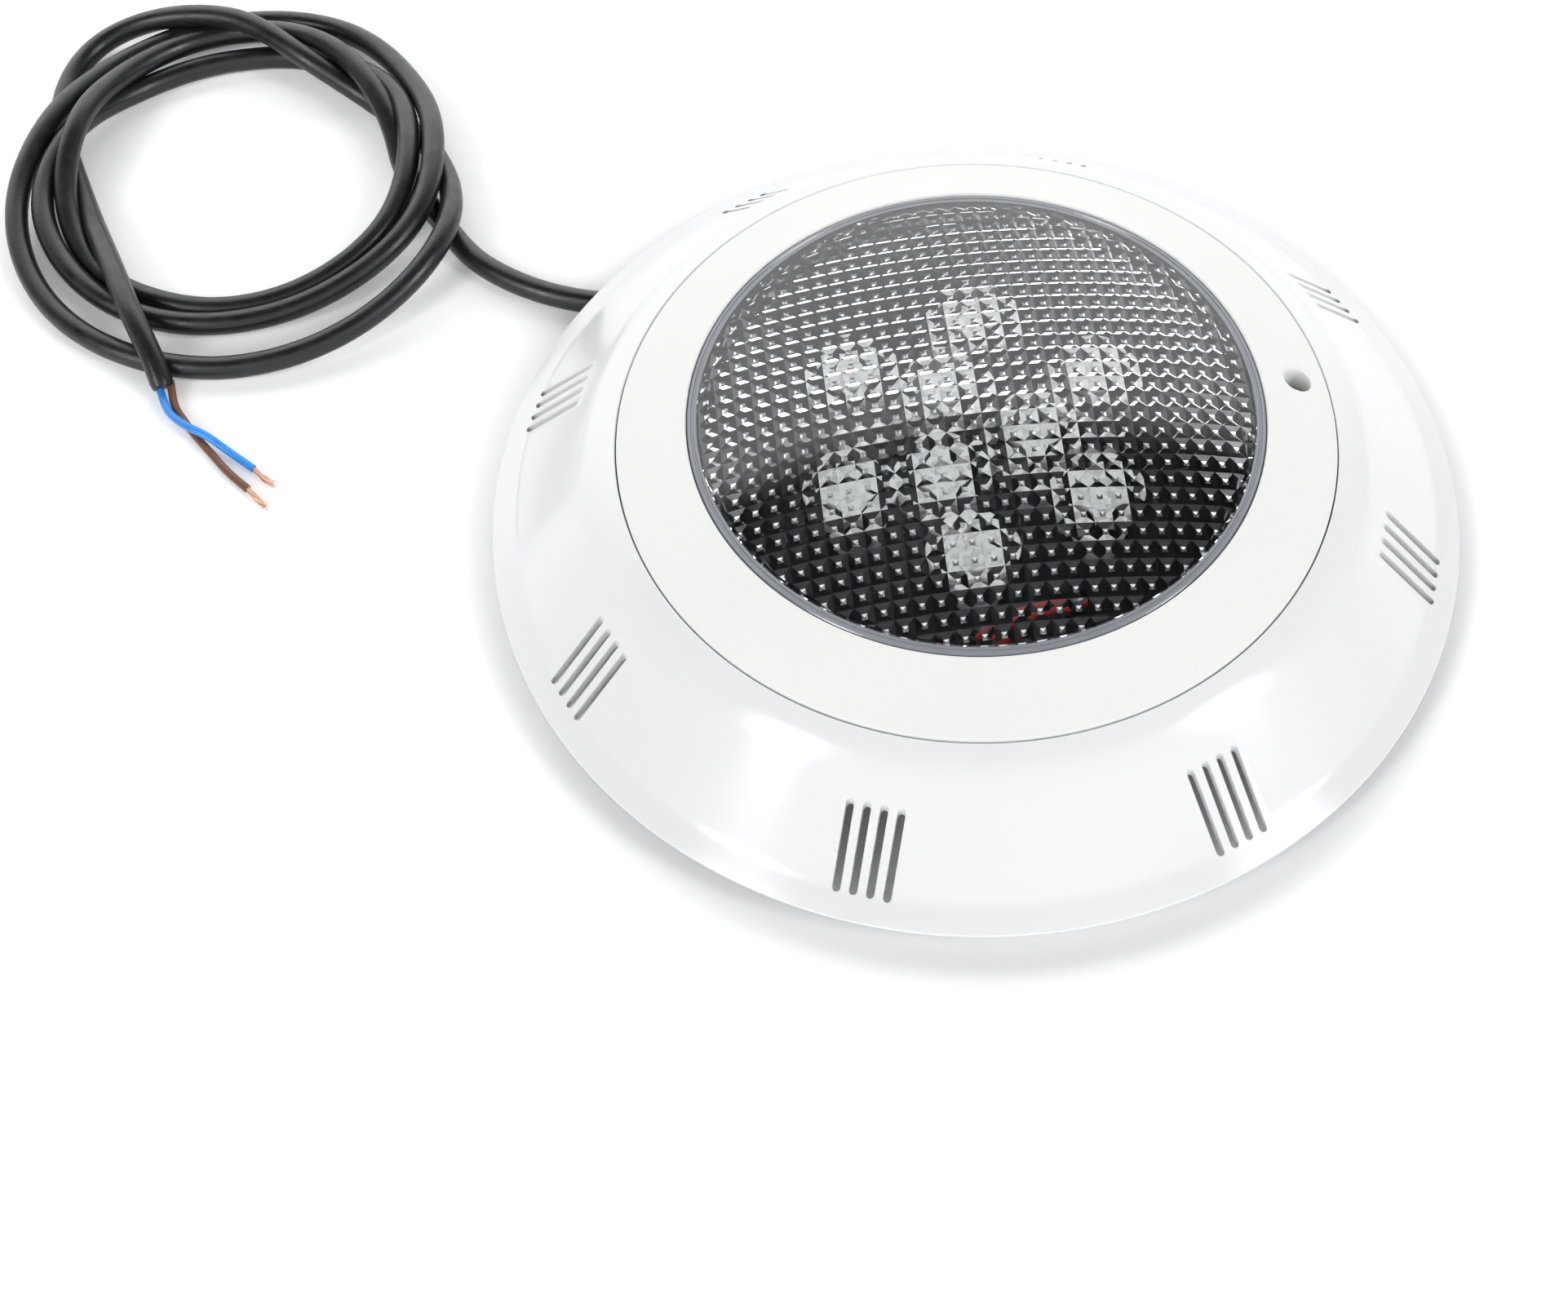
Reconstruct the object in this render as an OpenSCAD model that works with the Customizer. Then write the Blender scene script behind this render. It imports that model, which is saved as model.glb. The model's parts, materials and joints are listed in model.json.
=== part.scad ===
/* [Trim ring] */
// Outer radius of the trim ring at its rim
trim_outer_r = 145; // [140:0.5:150]
// Height of the trim ring's rim above the wall
rim_z = 8.5; // [8:0.5:10]
// Wall thickness of the trim ring
trim_wall = 2.6; // [2:0.1:3]
// Number of groups of water slots
slot_groups = 8; // [4:1:8]
// Slots in each group
slots_in_group = 4; // [2:1:4]
// Distance from one slot to the next
slot_pitch = 4.76; // [4:0.01:6]
// Width of a slot
slot_w = 2.3; // [1.5:0.1:3]

/* [Bezel and lens] */
// Outer radius of the bezel
bezel_r = 104.2; // [104:0.1:104.3]
// Radius of the opening that the lens stands in
lens_opening_r = 83.2; // [83:0.1:83.4]
// Rise of the lens dome above its rim
dome_rise = 14; // [10:0.5:16]
// Wall thickness of the lens
lens_wall = 3; // [2.5:0.1:3.5]
// Radius of the hole over the fixing screw
recess_r = 4.2; // [4.1:0.1:4.4]

/* [Housing] */
// Outer radius of the lower chamber
chamber_r = 80; // [80:0.5:82]
// Outer radius of the clamping flange
flange_r = 108; // [107.5:0.5:109]
// Wall thickness of the housing
housing_wall = 3; // [2.5:0.5:3]

/* [Light source] */
// Radius of the circle of outer lamps
outer_leds_r = 41; // [40:0.5:42]
// Radius of the circle of inner lamps
inner_leds_r = 17.5; // [16:0.5:18]
// Radius of a collimator's front face
collimator_r = 10; // [9:0.5:10]

/* [Fixings] */
// Radius at which the fixing screw stands
fixing_r = 95; // [95:0.5:95.5]
// Radius of the fixing screw's shank
fixing_shank_r = 2; // [1.5:0.5:2.5]
// Radius of the circle of wall-screw holes
wall_holes_r = 97.5; // [97:0.5:98]
// Radius of a wall-screw hole
wall_hole_r = 2.5; // [2:0.25:3]

/* [Cable] */
// Diameter of the cable
cable_d = 7.6; // [7:0.1:8]
// Diameter of one insulated core
core_d = 2.6; // [2:0.1:3]
// Height of the cable gland's axis above the wall
gland_z = 10.5; // [10.5:0.1:11]
// Angle at which the cable leaves the housing
gland_angle = 130; // [126:1:134]
// Inner radius of the coil
coil_inner_r = 46; // [40:1:50]
// Outer radius of the coil
coil_outer_r = 85; // [80:1:90]
// Height of the coil
coil_h = 22; // [16:1:24]

/* [Hidden] */

cable_r = cable_d / 2;
core_r = core_d / 2;
gap = 0.4;
skirt_t = 2.2;

// Trim ring: corner points of its outer outline, from the rim up to the seam
rim_edge = 1;
flare_in = [141, rim_z + 3.2];
cone_foot = [137.6, rim_z + 5.1];
cone_slope = 1.071;
shoulder_r = 112.8;
shoulder_corner = [shoulder_r, cone_foot.y + (cone_foot.x - shoulder_r) * cone_slope];
shoulder_slope = 0.506;
seam_in = [bezel_r + gap, shoulder_corner.y + (shoulder_r - bezel_r - gap) * shoulder_slope];
shoulder_bend_r = 28;
slot_near_r = 120.8;
slot_far_r = cone_foot.x;

// Heights of the lamp, from the wall up
plate_t = 2.5;
housing_z = 4;
floor_t = 2.5;
flange_z = 33;
flange_top = 36;
housing_top = 43;
lens_bottom = housing_top + 0.2;
lens_flange_r = 88;
lens_flange_top = 46;
lens_rim_z = 54;
lens_wall_r = 80;
bezel_seam_z = seam_in.y + 0.1;
bezel_skin = 2.4;
bezel_boss_top = housing_top + 2.4;
gasket_r = 86;
gasket_thick_r = 1;
upper_r = 88.5;
seat_r = 89;

// Light source
spreader_z = 28;
spreader_t = 3;
board_t = 1.6;
board_z = spreader_z + spreader_t;
board_top = board_z + board_t;
outer_angles = [for (k = [0:5]) 20 + 60 * k];
inner_angles = [for (k = [0:2]) -10 + 120 * k];
collimator_top = 42.9;
mask_z = 33.4;
mask_t = 1.2;
pillar_r = 64;
// Notch at the edge of the plates that the leads pass through, and the places where they end
notch_corner = [-17, -80];
notch_size = [24, 12];
lead_ends = [[19, -57], [-21, -59]];
pillar_angles = [for (k = [0:5]) 50 + 60 * k];

// Driver
driver_z = 12;
driver_top = driver_z + board_t;
driver_board_r = 50;
driver_post_r = 42;
driver_angles = [for (k = [0:3]) 45 + 90 * k];
capacitor_places = [[18, 14], [18, 0]];
chip_places = [[-20, -14], [-4, 4], [-22, 0]];
inductor_place = [2, -22];
terminal_corner = [-22, 17];
terminal_entries = [21, 26];

// Fixings
bezel_screw_angles = [for (k = [0:7]) 22.5 + 45 * k];
bezel_screws_r = 96.5;
wall_hole_angles = [for (k = [0:3]) 60 + 90 * k];
post_angles = [100, 260];
post_ring_r = 97;
post_r = 3;
post_hole_r = 3.4;
fixing_post_top = 32;
shank_end_z = 20;
running_gap = 0.05;
washer_t = 1;
screw_head_z = flange_top + washer_t;

// Gland: distances from the lamp's axis
gland_face = chamber_r + 3;
gland_hex = gland_face + 1.5;
gland_nose = gland_hex + 3.5;
gland_thread_end = gland_nose + 5;
cap_end = gland_nose + 8;
relief_start = cap_end - 2.5;
relief_end = cap_end + 18;

coil_centre = [-224, 172];

// Point on the gland's axis, given as its distance from the lamp's axis, or beside it
function by_gland(distance, beside = 0) = [
    distance * cos(gland_angle) + beside * sin(gland_angle),
    distance * sin(gland_angle) - beside * cos(gland_angle),
    gland_z
];

// Cable from the strain relief to the coil, laid on the floor under the trim ring's rim
floor_z = cable_r + 0.2;
lead_points = [
    by_gland(relief_end + 0.4),
    by_gland(relief_end + 2.4),
    by_gland(relief_end + 4.4),
    [-82.5, 94.5, 8],
    [-91, 98.5, 5],
    [-104, 101, floor_z],
    [-118, 106.5, floor_z],
    [-130, 114, floor_z],
    [-139, 122, floor_z],
    [-145, 129.5, floor_z],
    [-150.5, 140, floor_z]
];
// The two cores beyond the end of the jacket, with the blue core passing over the brown one
brown_points = [
    [-243.5, 92, 3.4], [-242.5, 83, 2], [-240, 77.5, 1.5], [-236, 70, 1.5],
    [-231, 62, 1.5], [-226, 54, 1.5], [-220, 46.5, 1.5]
];
blue_points = [
    [-247.5, 92, 3.6], [-245, 82, 3], [-242, 76.5, 3.6], [-237, 71, 4.6],
    [-231.5, 67, 4], [-225.5, 61.5, 2.2], [-218, 54, 1.5]
];
brown_strand_points = [[-219.8, 46.3, 1.5], [-216.5, 41.5, 1.4], [-214, 38, 1.2]];
blue_strand_points = [[-217.8, 53.8, 1.5], [-214, 49, 1.4], [-211, 46.5, 1.2]];
strand_r = 1;

// Leads inside the lamp
red_points = [
    [-9, -47, driver_top + 0.6], [-9, -47, 16], [-10, -60, 20], [-11, -72, 24], [-11, -74, 30],
    [-11, -71, 35.6], [-8, -66, 36.8], [3, -62, 37.2], [14, -61, 37.2], [19, -58, 35.6],
    [lead_ends[0].x, lead_ends[0].y, board_top + 0.5]
];
black_points = [
    [3, -47, driver_top + 0.6], [3, -47, 16], [1, -60, 20], [0, -72, 24], [0, -74, 30],
    [-1, -73, 37], [-8, -70.5, 39.6], [-17, -66, 38], [-21, -61, 35.8],
    [lead_ends[1].x, lead_ends[1].y, board_top + 0.5]
];
inner_brown_points = [
    by_gland(72.7, 1.5), by_gland(68, 1.6), [-38, 44, 13], [-34, 33, 17], [-28, 26, 18], [-22.3, 26, 18]
];
inner_blue_points = [
    by_gland(72.7, -1.5), by_gland(68, -1.6), [-45, 41, 13], [-39, 29, 17], [-31, 21, 18], [-22.3, 21, 18]
];

function unit(v) = v / norm(v);

// Point at the share t between p1 and p2 on a smooth curve through four points
function curve_point(p0, p1, p2, p3, t) =
    0.5 * (2 * p1 + (p2 - p0) * t + (2 * p0 - 5 * p1 + 4 * p2 - p3) * t * t
           + (3 * p1 - p0 - 3 * p2 + p3) * t * t * t);

// Smooth path through the points, with so many steps between one point and the next
function smooth_path(points, steps) =
    let (last = len(points) - 1)
    concat(
        [for (i = [0:last - 1], s = [0:steps - 1])
            curve_point(points[max(i - 1, 0)], points[i], points[i + 1],
                        points[min(i + 2, last)], s / steps)],
        [points[last]]
    );

function tangent(path, i) = unit(path[min(i + 1, len(path) - 1)] - path[max(i - 1, 0)]);

// Points of one ring of a tube about path[i]; across is a direction the path never follows
function ring(path, i, radius, sides, across) =
    let (along = tangent(path, i), side = unit(cross(along, across)), top = cross(side, along))
    [for (k = [0:sides - 1]) path[i] + radius * (cos(360 * k / sides) * side + sin(360 * k / sides) * top)];

// Closed tube with flat ends
module tube(path, radius, sides, across = [0, 0, 1]) {
    rings = len(path);
    polyhedron(
        points = [for (i = [0:rings - 1]) each ring(path, i, radius, sides, across)],
        faces = concat(
            [[for (k = [0:sides - 1]) k]],
            [for (i = [0:rings - 2], k = [0:sides - 1])
                [i * sides + k, (i + 1) * sides + k, (i + 1) * sides + (k + 1) % sides,
                 i * sides + (k + 1) % sides]],
            [[for (k = [sides - 1:-1:0]) (rings - 1) * sides + k]]
        )
    );
}

module at_angles(angles, radius) {
    for (a = angles)
        rotate([0, 0, a])
            translate([radius, 0, 0])
                children();
}

// Cylinder between two heights
module post(r, z0, z1) {
    translate([0, 0, z0])
        cylinder(r = r, h = z1 - z0, $fn = 48);
}

// Places a turned piece on the gland's axis: its own Z is the distance from the lamp's axis
module on_gland_axis() {
    rotate([0, 0, gland_angle])
        translate([0, 0, gland_z])
            rotate([0, 90, 0])
                children();
}

module washer(r_out, r_in, z0, z1) {
    difference() {
        post(r_out, z0, z1);
        post(r_in, z0 - 1, z1 + 1);
    }
}

// Pan head screw along -Z with a cross recess
module pan_screw(shank_r, shank_end, head_z, head_r, head_h) {
    difference() {
        union() {
            post(shank_r, shank_end, head_z);
            post(head_r, head_z, head_z + head_h);
        }
        for (a = [0, 90])
            rotate([0, 0, a])
                translate([-head_r * 0.6, -0.45, head_z + head_h * 0.45])
                    cube([head_r * 1.2, 0.9, head_h]);
    }
}

// Outer outline of the trim ring, rim to seam, with the shoulder as an arc
function shoulder_arc() =
    let (a0 = 90 - atan(cone_slope), a1 = 90 - atan(shoulder_slope), turn = (a1 - a0) / 2,
         to_tangent = shoulder_bend_r * tan(turn),
         start = shoulder_corner + to_tangent * [sin(a0), -cos(a0)],
         centre = start - shoulder_bend_r * [cos(a0), sin(a0)])
    [for (k = [0:6]) let (a = a0 + (a1 - a0) * k / 6) centre + shoulder_bend_r * [cos(a), sin(a)]];

function trim_outline() =
    concat([[trim_outer_r, rim_z], [trim_outer_r, rim_z + rim_edge], flare_in, cone_foot],
           shoulder_arc(), [seam_in]);

// The same outline moved inwards by the wall's thickness
function inset(points, t) =
    [for (i = [2:len(points) - 1])
        let (d = unit(points[min(i + 1, len(points) - 1)] - points[i - 1])) points[i] + t * [-d.y, d.x]];

module trim_section() {
    outline = trim_outline();
    inner = inset(outline, trim_wall);
    polygon(concat(
        outline,
        [[seam_in.x, flange_top], [seam_in.x + skirt_t, flange_top],
         [seam_in.x + skirt_t, seam_in.y - trim_wall - 1]],
        [for (i = [len(inner) - 2:-1:0]) inner[i]],
        [[trim_outer_r - 4.5, rim_z]]
    ));
}

module trim_rib() {
    rotate([90, 0, 0])
        linear_extrude(2, center = true)
            polygon([
                [bezel_r + 2, flange_top], [bezel_r + 2, flange_top + 5], [112, 38], [116, 34.6],
                [131, 18.6], [131, 15], [112, 30], [flange_r + 0.6, flange_top]
            ]);
}

module water_slot() {
    translate([0, 0, rim_z - 1]) {
        translate([slot_near_r, -slot_w / 2, 0])
            cube([slot_far_r - slot_near_r, slot_w, 40]);
        for (x = [slot_near_r, slot_far_r])
            translate([x, 0, 0])
                cylinder(r = slot_w / 2, h = 40, $fn = 32);
    }
}

module trim_ring() {
    color("white")
        difference() {
            union() {
                rotate_extrude($fn = 240)
                    trim_section();
                at_angles([for (k = [0:slot_groups - 1]) 360 * k / slot_groups], 0)
                    trim_rib();
            }
            at_angles([for (k = [0:slot_groups - 1]) 360 * (k + 0.5) / slot_groups], 0)
                for (s = [0:slots_in_group - 1])
                    translate([0, (s - (slots_in_group - 1) / 2) * slot_pitch, 0])
                        water_slot();
        }
}

module bezel() {
    step_r = lens_flange_r + 0.5;
    skirt_r = bezel_r - 3;
    color("ivory")
        difference() {
            union() {
                rotate_extrude($fn = 240)
                    polygon([
                        [lens_opening_r, lens_flange_top + 0.2], [lens_opening_r, lens_rim_z],
                        [bezel_r, bezel_seam_z], [bezel_r, flange_top], [skirt_r, flange_top],
                        [skirt_r, bezel_seam_z - bezel_skin], [step_r, housing_top + 1.8],
                        [step_r, lens_flange_top + 0.2]
                    ]);
                at_angles(bezel_screw_angles, bezel_screws_r)
                    post(3.5, flange_top, bezel_boss_top);
                at_angles([0], fixing_r)
                    post(recess_r + 1.6, flange_top, bezel_boss_top);
            }
            at_angles(bezel_screw_angles, bezel_screws_r)
                post(1.55, flange_top - 1, flange_top + 8);
            at_angles([0], fixing_r)
                post(recess_r, flange_top - 1, lens_rim_z + 1);
        }
}

module bezel_screws() {
    head_h = 2.4;
    color("silver")
        at_angles(bezel_screw_angles, bezel_screws_r)
            translate([0, 0, flange_z])
                mirror([0, 0, 1])
                    pan_screw(1.5, -10, 0, 3, head_h);
}

module fixing_screw() {
    color("silver")
        at_angles([0], fixing_r)
            pan_screw(fixing_shank_r, shank_end_z, screw_head_z, 3.5, 3.2);
}

module fixing_screw_washer() {
    color("gainsboro")
        at_angles([0], fixing_r)
            washer(3.8, fixing_shank_r + running_gap, flange_top, screw_head_z);
}

// Sphere segment through the lens rim; returns the height of its surface at radius r
function dome_radius(edge_r, rise) = (edge_r * edge_r + rise * rise) / (2 * rise);
function dome_z(r, edge_r, rise, edge_z) =
    let (big = dome_radius(edge_r, rise)) edge_z + rise - big + sqrt(big * big - r * r);

module lens() {
    inside_r = lens_wall_r - lens_wall;
    outer_dome = [for (r = [lens_wall_r:-8:0]) [r, dome_z(r, lens_wall_r, dome_rise, lens_rim_z)]];
    inner_dome = [for (r = [0:7:inside_r]) [r, dome_z(r, lens_wall_r, dome_rise, lens_rim_z - lens_wall)]];
    color("gray", 0.5)
        rotate_extrude($fn = 180)
            polygon(concat(
                [[inside_r, lens_bottom], [lens_flange_r, lens_bottom], [lens_flange_r, lens_flange_top],
                 [lens_opening_r - 0.3, lens_flange_top], [lens_opening_r - 0.3, lens_rim_z - 0.6],
                 [lens_wall_r, lens_rim_z - 0.6]],
                outer_dome, inner_dome
            ));
}

module lens_gasket() {
    color("dimgray")
        rotate_extrude($fn = 120)
            translate([gasket_r, housing_top - 0.8])
                circle(r = gasket_thick_r, $fn = 24);
}

module lamp_housing() {
    chamber_in = chamber_r - housing_wall;
    upper_in = upper_r - housing_wall;
    color("lightgray")
        difference() {
            union() {
                rotate_extrude($fn = 180)
                    polygon([
                        [0, housing_z], [chamber_r - 1.5, housing_z], [chamber_r, housing_z + 1.5],
                        [chamber_r, 26], [upper_r, 29], [upper_r, flange_z], [flange_r, flange_z],
                        [flange_r, flange_top], [seat_r, flange_top], [seat_r, housing_top],
                        [82.5, housing_top], [82.5, 40], [upper_in, 37], [upper_in, 30.5], [chamber_in, 27.5],
                        [chamber_in, housing_z + floor_t], [0, housing_z + floor_t]
                    ]);
                at_angles(pillar_angles, pillar_r)
                    post(4, housing_z + 1, spreader_z);
                at_angles(driver_angles, driver_post_r)
                    post(3, housing_z + 1, driver_z);
                on_gland_axis()
                    post(6.5, chamber_r - 5, gland_face);
            }
            rotate_extrude($fn = 120)
                translate([gasket_r - 1.2, housing_top - 2])
                    square([2.4, 3]);
            at_angles(pillar_angles, pillar_r)
                post(1.5, spreader_z - 8, spreader_z + 1);
            at_angles(driver_angles, driver_post_r)
                post(1.25, driver_z - 4, driver_z + 1);
            at_angles(bezel_screw_angles, bezel_screws_r)
                post(1.8, flange_z - 1, flange_top + 1);
            at_angles([0], fixing_r)
                post(fixing_shank_r + 0.3, flange_z - 1, flange_top + 1);
            at_angles(post_angles, post_ring_r)
                post(post_hole_r, flange_z - 1, flange_top + 1);
            on_gland_axis()
                post(5, chamber_r - 6, gland_face + 1);
        }
}

module wall_bracket() {
    color("whitesmoke")
        difference() {
            union() {
                post(104, 0, plate_t);
                rotate_extrude($fn = 120)
                    translate([66, plate_t - 0.5])
                        square([6, housing_z - plate_t + 0.5]);
                at_angles(post_angles, post_ring_r)
                    post(post_r, plate_t - 0.5, flange_z + 2);
                at_angles([0], fixing_r)
                    post(5, plate_t - 0.5, fixing_post_top);
            }
            at_angles(wall_hole_angles, wall_holes_r)
                post(wall_hole_r, -1, plate_t + 1);
            at_angles([0], fixing_r)
                post(fixing_shank_r + running_gap, 8, fixing_post_top + 1);
        }
}

module lead_notch(z0, z1) {
    translate([notch_corner.x, notch_corner.y, z0 - 1])
        cube([notch_size.x, notch_size.y, z1 - z0 + 2]);
}

module heat_spreader() {
    color("silver")
        difference() {
            post(76, spreader_z, board_z);
            at_angles(pillar_angles, pillar_r)
                post(1.7, spreader_z - 1, board_z + 1);
            lead_notch(spreader_z, board_z);
        }
}

module led_board() {
    color("black")
        difference() {
            post(74, board_z, board_top);
            at_angles(pillar_angles, pillar_r)
                post(4, board_z - 1, board_top + 1);
            lead_notch(board_z, board_top);
        }
}

module spreader_screws() {
    color("silver")
        at_angles(pillar_angles, pillar_r)
            pan_screw(1.45, spreader_z - 7, board_z, 3, 1.8);
}

module at_every_led() {
    at_angles(outer_angles, outer_leds_r)
        children();
    at_angles(inner_angles, inner_leds_r)
        children();
}

module led_emitters() {
    color("gold")
        at_every_led() {
            post(4.4, board_top, board_top + 1);
            translate([0, 0, board_top + 1])
                intersection() {
                    sphere(r = 2.2, $fn = 32);
                    post(3, -0.2, 3);
                }
        }
}

module collimators() {
    foot_z = board_top + 2.6;
    color("white", 0.6)
        at_every_led()
            rotate_extrude($fn = 48)
                polygon([
                    [0, foot_z + 2.4], [2.6, foot_z + 2.4], [2.6, foot_z], [5, foot_z],
                    [collimator_r - 0.2, collimator_top - 1], [collimator_r, collimator_top - 0.8],
                    [collimator_r, collimator_top], [0, collimator_top]
                ]);
}

module collimator_holders() {
    foot_z = board_top + 2.6;
    color("dimgray")
        at_every_led()
            rotate_extrude($fn = 48)
                polygon([
                    [5.2, board_top], [7.2, board_top], [7.2, foot_z + 0.4], [8.5, foot_z + 3],
                    [7.5, foot_z + 3], [5.2, foot_z]
                ]);
}

module mask_plate() {
    color("black")
        difference() {
            union() {
                post(79.5, mask_z, mask_z + mask_t);
                at_angles([for (k = [0:2]) 120 * k], 58)
                    post(2.5, board_top, mask_z + 0.2);
            }
            at_every_led()
                post(9, mask_z - 1, mask_z + mask_t + 1);
            lead_notch(mask_z, mask_z + mask_t);
            for (p = lead_ends)
                translate([p.x, p.y, 0])
                    post(3.5, mask_z - 1, mask_z + mask_t + 1);
        }
}

module driver_board() {
    color("darkgreen")
        difference() {
            post(driver_board_r, driver_z, driver_top);
            at_angles(driver_angles, driver_post_r)
                post(1.5, driver_z - 1, driver_top + 1);
        }
}

module driver_screws() {
    color("silver")
        at_angles(driver_angles, driver_post_r)
            pan_screw(1.2, driver_z - 3.5, driver_top, 2.4, 1.6);
}

module capacitors() {
    color("navy")
        for (p = capacitor_places)
            translate([p.x, p.y, 0])
                post(5, driver_top, driver_top + 11);
}

module inductor() {
    color("goldenrod")
        translate([inductor_place.x, inductor_place.y, 0])
            washer(8, 3.5, driver_top, driver_top + 6.5);
}

module control_chips() {
    color("black")
        for (p = chip_places)
            translate([p.x - 4, p.y - 3, driver_top])
                cube([8, 6, 1.8]);
}

module terminal_block() {
    color("limegreen")
        difference() {
            translate([terminal_corner.x, terminal_corner.y, driver_top])
                cube([9, 13, 8]);
            for (y = terminal_entries)
                translate([terminal_corner.x + 5, y, 0])
                    post(1.6, driver_top + 5.5, driver_top + 9);
        }
}

module lead_red() {
    color("red")
        tube(smooth_path(red_points, 3), 0.9, 8, across = [1, 0.3, 0.2]);
}

module lead_black() {
    color("black")
        tube(smooth_path(black_points, 3), 0.9, 8, across = [1, -0.3, 0.2]);
}

module inner_core_brown() {
    color("sienna")
        tube(smooth_path(inner_brown_points, 3), 1.2, 8);
}

module inner_core_blue() {
    color("dodgerblue")
        tube(smooth_path(inner_blue_points, 3), 1.2, 8);
}

module cable_inner_end() {
    color("black")
        on_gland_axis()
            post(cable_r, chamber_r - 7, relief_end);
}

module gland_body() {
    color("dimgray")
        difference() {
            union() {
                on_gland_axis()
                    post(5, chamber_r - 5, gland_nose);
                on_gland_axis()
                    translate([0, 0, gland_hex])
                        cylinder(r = 6.5, h = gland_nose - gland_hex, $fn = 6);
                on_gland_axis()
                    post(5.4, gland_nose - 1, gland_thread_end);
            }
            on_gland_axis()
                post(cable_r, chamber_r - 6, gland_thread_end + 1);
            on_gland_axis()
                post(4.7, gland_nose + 0.8, gland_thread_end + 1);
        }
}

module gland_gasket() {
    color("black")
        on_gland_axis()
            washer(6.3, 5, gland_face, gland_hex);
}

module gland_seal() {
    color("gray")
        on_gland_axis()
            washer(4.7, cable_r, gland_nose + 0.8, gland_thread_end);
}

module gland_cap() {
    color("dimgray")
        on_gland_axis()
            rotate_extrude($fn = 48)
                polygon([
                    [5.4, gland_nose + 0.3], [6.5, gland_nose + 0.3], [6.5, gland_nose + 5.5],
                    [6, cap_end], [4.8, cap_end], [4.8, gland_thread_end + 0.5],
                    [5.4, gland_thread_end + 0.3]
                ]);
}

module strain_relief() {
    color("black")
        on_gland_axis()
            rotate_extrude($fn = 48)
                polygon([
                    [cable_r, relief_start], [4.8, relief_start], [4.8, cap_end + 0.2],
                    [5.6, cap_end + 0.2], [5.6, cap_end + 2], [4.5, relief_end], [cable_r, relief_end]
                ]);
}

module cord_lead() {
    color("black")
        tube(smooth_path(lead_points, 3), cable_r, 12);
}

module cord_coil() {
    color("black")
        translate([coil_centre.x, coil_centre.y, 0])
            rotate_extrude($fn = 120)
                translate([coil_inner_r, 0])
                    square([coil_outer_r - coil_inner_r, coil_h]);
}

module wire_brown() {
    color("sienna")
        tube(smooth_path(brown_points, 3), core_r, 8);
}

module wire_blue() {
    color("dodgerblue")
        tube(smooth_path(blue_points, 3), core_r, 8);
}

module strands_brown() {
    color("peru")
        tube(smooth_path(brown_strand_points, 2), strand_r, 8);
}

module strands_blue() {
    color("peru")
        tube(smooth_path(blue_strand_points, 2), strand_r, 8);
}

wall_bracket();
lamp_housing();
lens_gasket();
lens();
bezel();
bezel_screws();
trim_ring();
fixing_screw();
fixing_screw_washer();
heat_spreader();
spreader_screws();
led_board();
led_emitters();
collimator_holders();
collimators();
mask_plate();
driver_board();
driver_screws();
capacitors();
inductor();
control_chips();
terminal_block();
lead_red();
lead_black();
inner_core_brown();
inner_core_blue();
cable_inner_end();
gland_body();
gland_gasket();
gland_seal();
gland_cap();
strain_relief();
cord_lead();
cord_coil();
wire_brown();
wire_blue();
strands_brown();
strands_blue();
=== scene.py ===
"""Underwater pool light on a pale floor: camera, cable, lamp pieces, materials, stage and light.

Lengths in this script are millimetres in the part's own frame, and M turns them into metres.
"""
import json
import math
import random

import bmesh
import bpy
import numpy as np
from mathutils import Matrix, Vector
from mathutils.geometry import delaunay_2d_cdt


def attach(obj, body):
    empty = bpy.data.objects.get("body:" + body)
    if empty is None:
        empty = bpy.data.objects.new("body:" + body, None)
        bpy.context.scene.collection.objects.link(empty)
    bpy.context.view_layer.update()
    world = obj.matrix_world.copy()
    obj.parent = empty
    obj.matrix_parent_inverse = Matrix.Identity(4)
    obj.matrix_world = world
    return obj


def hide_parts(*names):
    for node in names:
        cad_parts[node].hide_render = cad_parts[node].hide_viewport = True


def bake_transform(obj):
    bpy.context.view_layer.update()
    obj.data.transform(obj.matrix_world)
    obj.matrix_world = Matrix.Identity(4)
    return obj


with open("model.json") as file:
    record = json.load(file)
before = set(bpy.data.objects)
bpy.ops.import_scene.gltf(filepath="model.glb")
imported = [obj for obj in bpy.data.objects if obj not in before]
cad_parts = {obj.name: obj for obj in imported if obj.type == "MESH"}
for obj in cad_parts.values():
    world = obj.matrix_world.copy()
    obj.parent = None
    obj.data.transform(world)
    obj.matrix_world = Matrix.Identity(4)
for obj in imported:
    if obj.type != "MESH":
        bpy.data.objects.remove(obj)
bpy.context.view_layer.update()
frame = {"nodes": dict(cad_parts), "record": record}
M = 0.001

# ---------------------------------------------------------------- sizes shared with the part

TRIM_R = 145.0
RIM_Z = 8.5
CONE_SLOPE = 1.071
CONE_FOOT = (137.6, RIM_Z + 5.1)
SHOULDER = (112.8, CONE_FOOT[1] + (CONE_FOOT[0] - 112.8) * CONE_SLOPE)
SHOULDER_SLOPE = 0.506
SEAM_R = 104.6
SEAM_Z = SHOULDER[1] + (SHOULDER[0] - SEAM_R) * SHOULDER_SLOPE
BEZEL_R = 104.2
BEZEL_SEAM_Z = SEAM_Z + 0.1
LENS_OPENING_R = 83.2
LENS_RIM_Z = 54.0
LENS_R = 80.0
DOME_RISE = 14.0
FLANGE_TOP = 36.0
SLOT_W = 2.3
SLOT_PITCH = 4.76
SLOT_NEAR, SLOT_FAR = 120.8, 137.6
SLOT_EDGE = 0.15
SKIRT_T = 2.2
RIM_IN_R = TRIM_R - 4.5
RECESS_AT, RECESS_R = 95.0, 4.2
RECESS_EDGE, BOSS_WALL = 0.5, 1.6
BEZEL_WALL, BEZEL_TOP_T = 3, 2.4
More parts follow.
